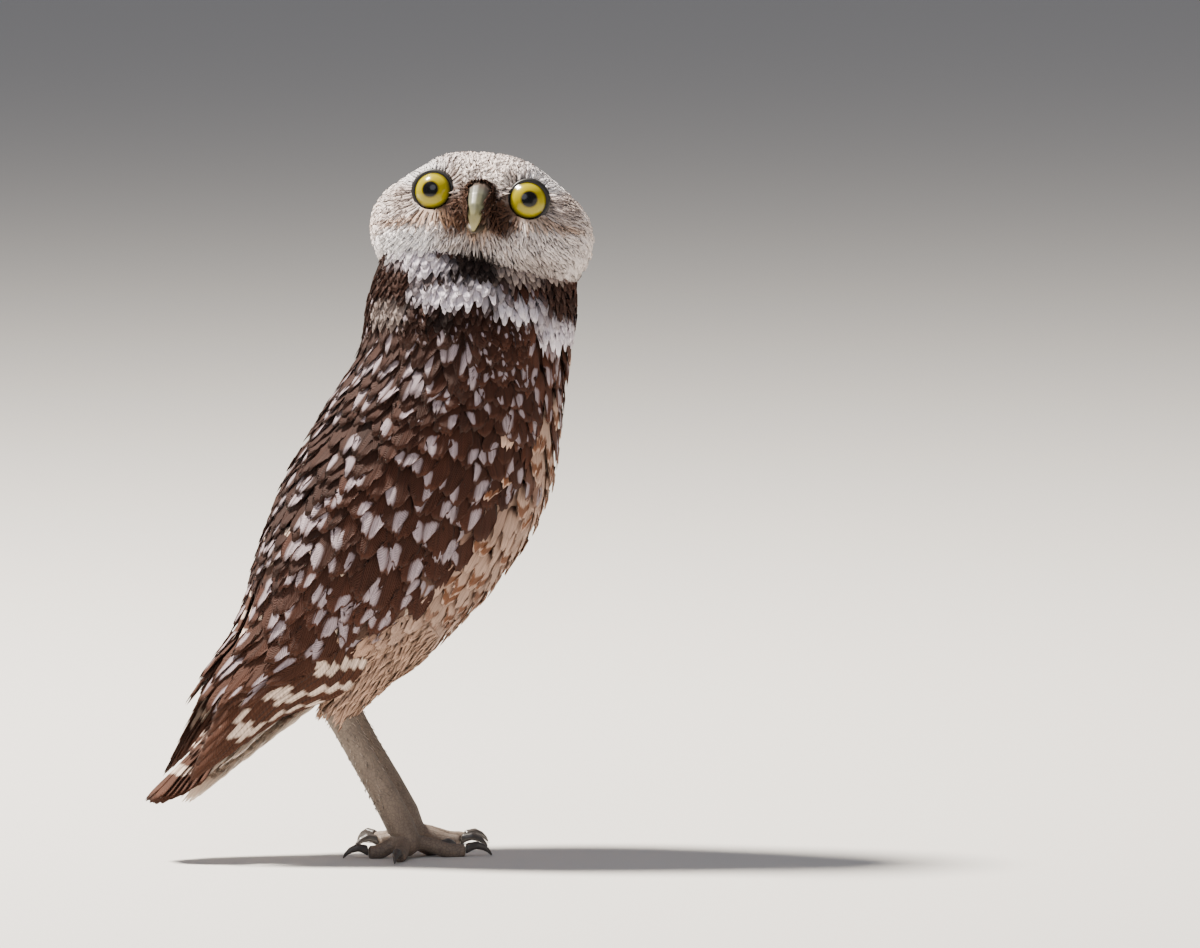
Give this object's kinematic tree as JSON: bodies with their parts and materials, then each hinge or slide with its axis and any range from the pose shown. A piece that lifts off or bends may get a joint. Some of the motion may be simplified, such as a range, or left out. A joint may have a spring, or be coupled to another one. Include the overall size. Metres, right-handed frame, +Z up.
{
  "type": "burrowing owl",
  "caption": "Small long-legged owl standing on both feet, body in profile, face turned back over its shoulder and lifted, wings folded.",
  "frame": {"origin": "on the floor, under the middle of the owl's bounding box", "axes": "+Z up, +X the way the body and feet point, +Y the owl's left side; the face looks back over the right shoulder"},
  "size_m": [0.1427, 0.0791, 0.2194],
  "materials": {
    "brown_feather": "matt brown vanes with pale bars",
    "spotted_feather": "matt brown vanes with white spots",
    "pale_feather": "soft cream feathers with brown bars",
    "face_feather": "soft grey-white feathers with brown streaks",
    "horn": "satin grey-green horn",
    "eye": "wet lemon-yellow iris round a black pupil",
    "shank_feather": "short sparse bristles over grey-brown skin",
    "toe_skin": "scaly grey-brown skin",
    "claw_horn": "satin dark horn"
  },
  "bodies": {
    "root": {"torso": "pale_feather", "neck": "face_feather", "head": "face_feather", "bill_upper": "horn", "bill_lower": "horn", "eye_left": "eye", "eye_right": "eye", "wing_left": "spotted_feather", "wing_right": "spotted_feather", "tail": "brown_feather", "thigh_left": "pale_feather", "thigh_right": "pale_feather", "tarsus_left": "shank_feather", "tarsus_right": "shank_feather", "foot_left": "toe_skin", "foot_right": "toe_skin", "claw_inner_left": "claw_horn", "claw_middle_left": "claw_horn", "claw_outer_left": "claw_horn", "claw_hind_left": "claw_horn", "claw_inner_right": "claw_horn", "claw_middle_right": "claw_horn", "claw_outer_right": "claw_horn", "claw_hind_right": "claw_horn"}
  },
  "joints": []
}
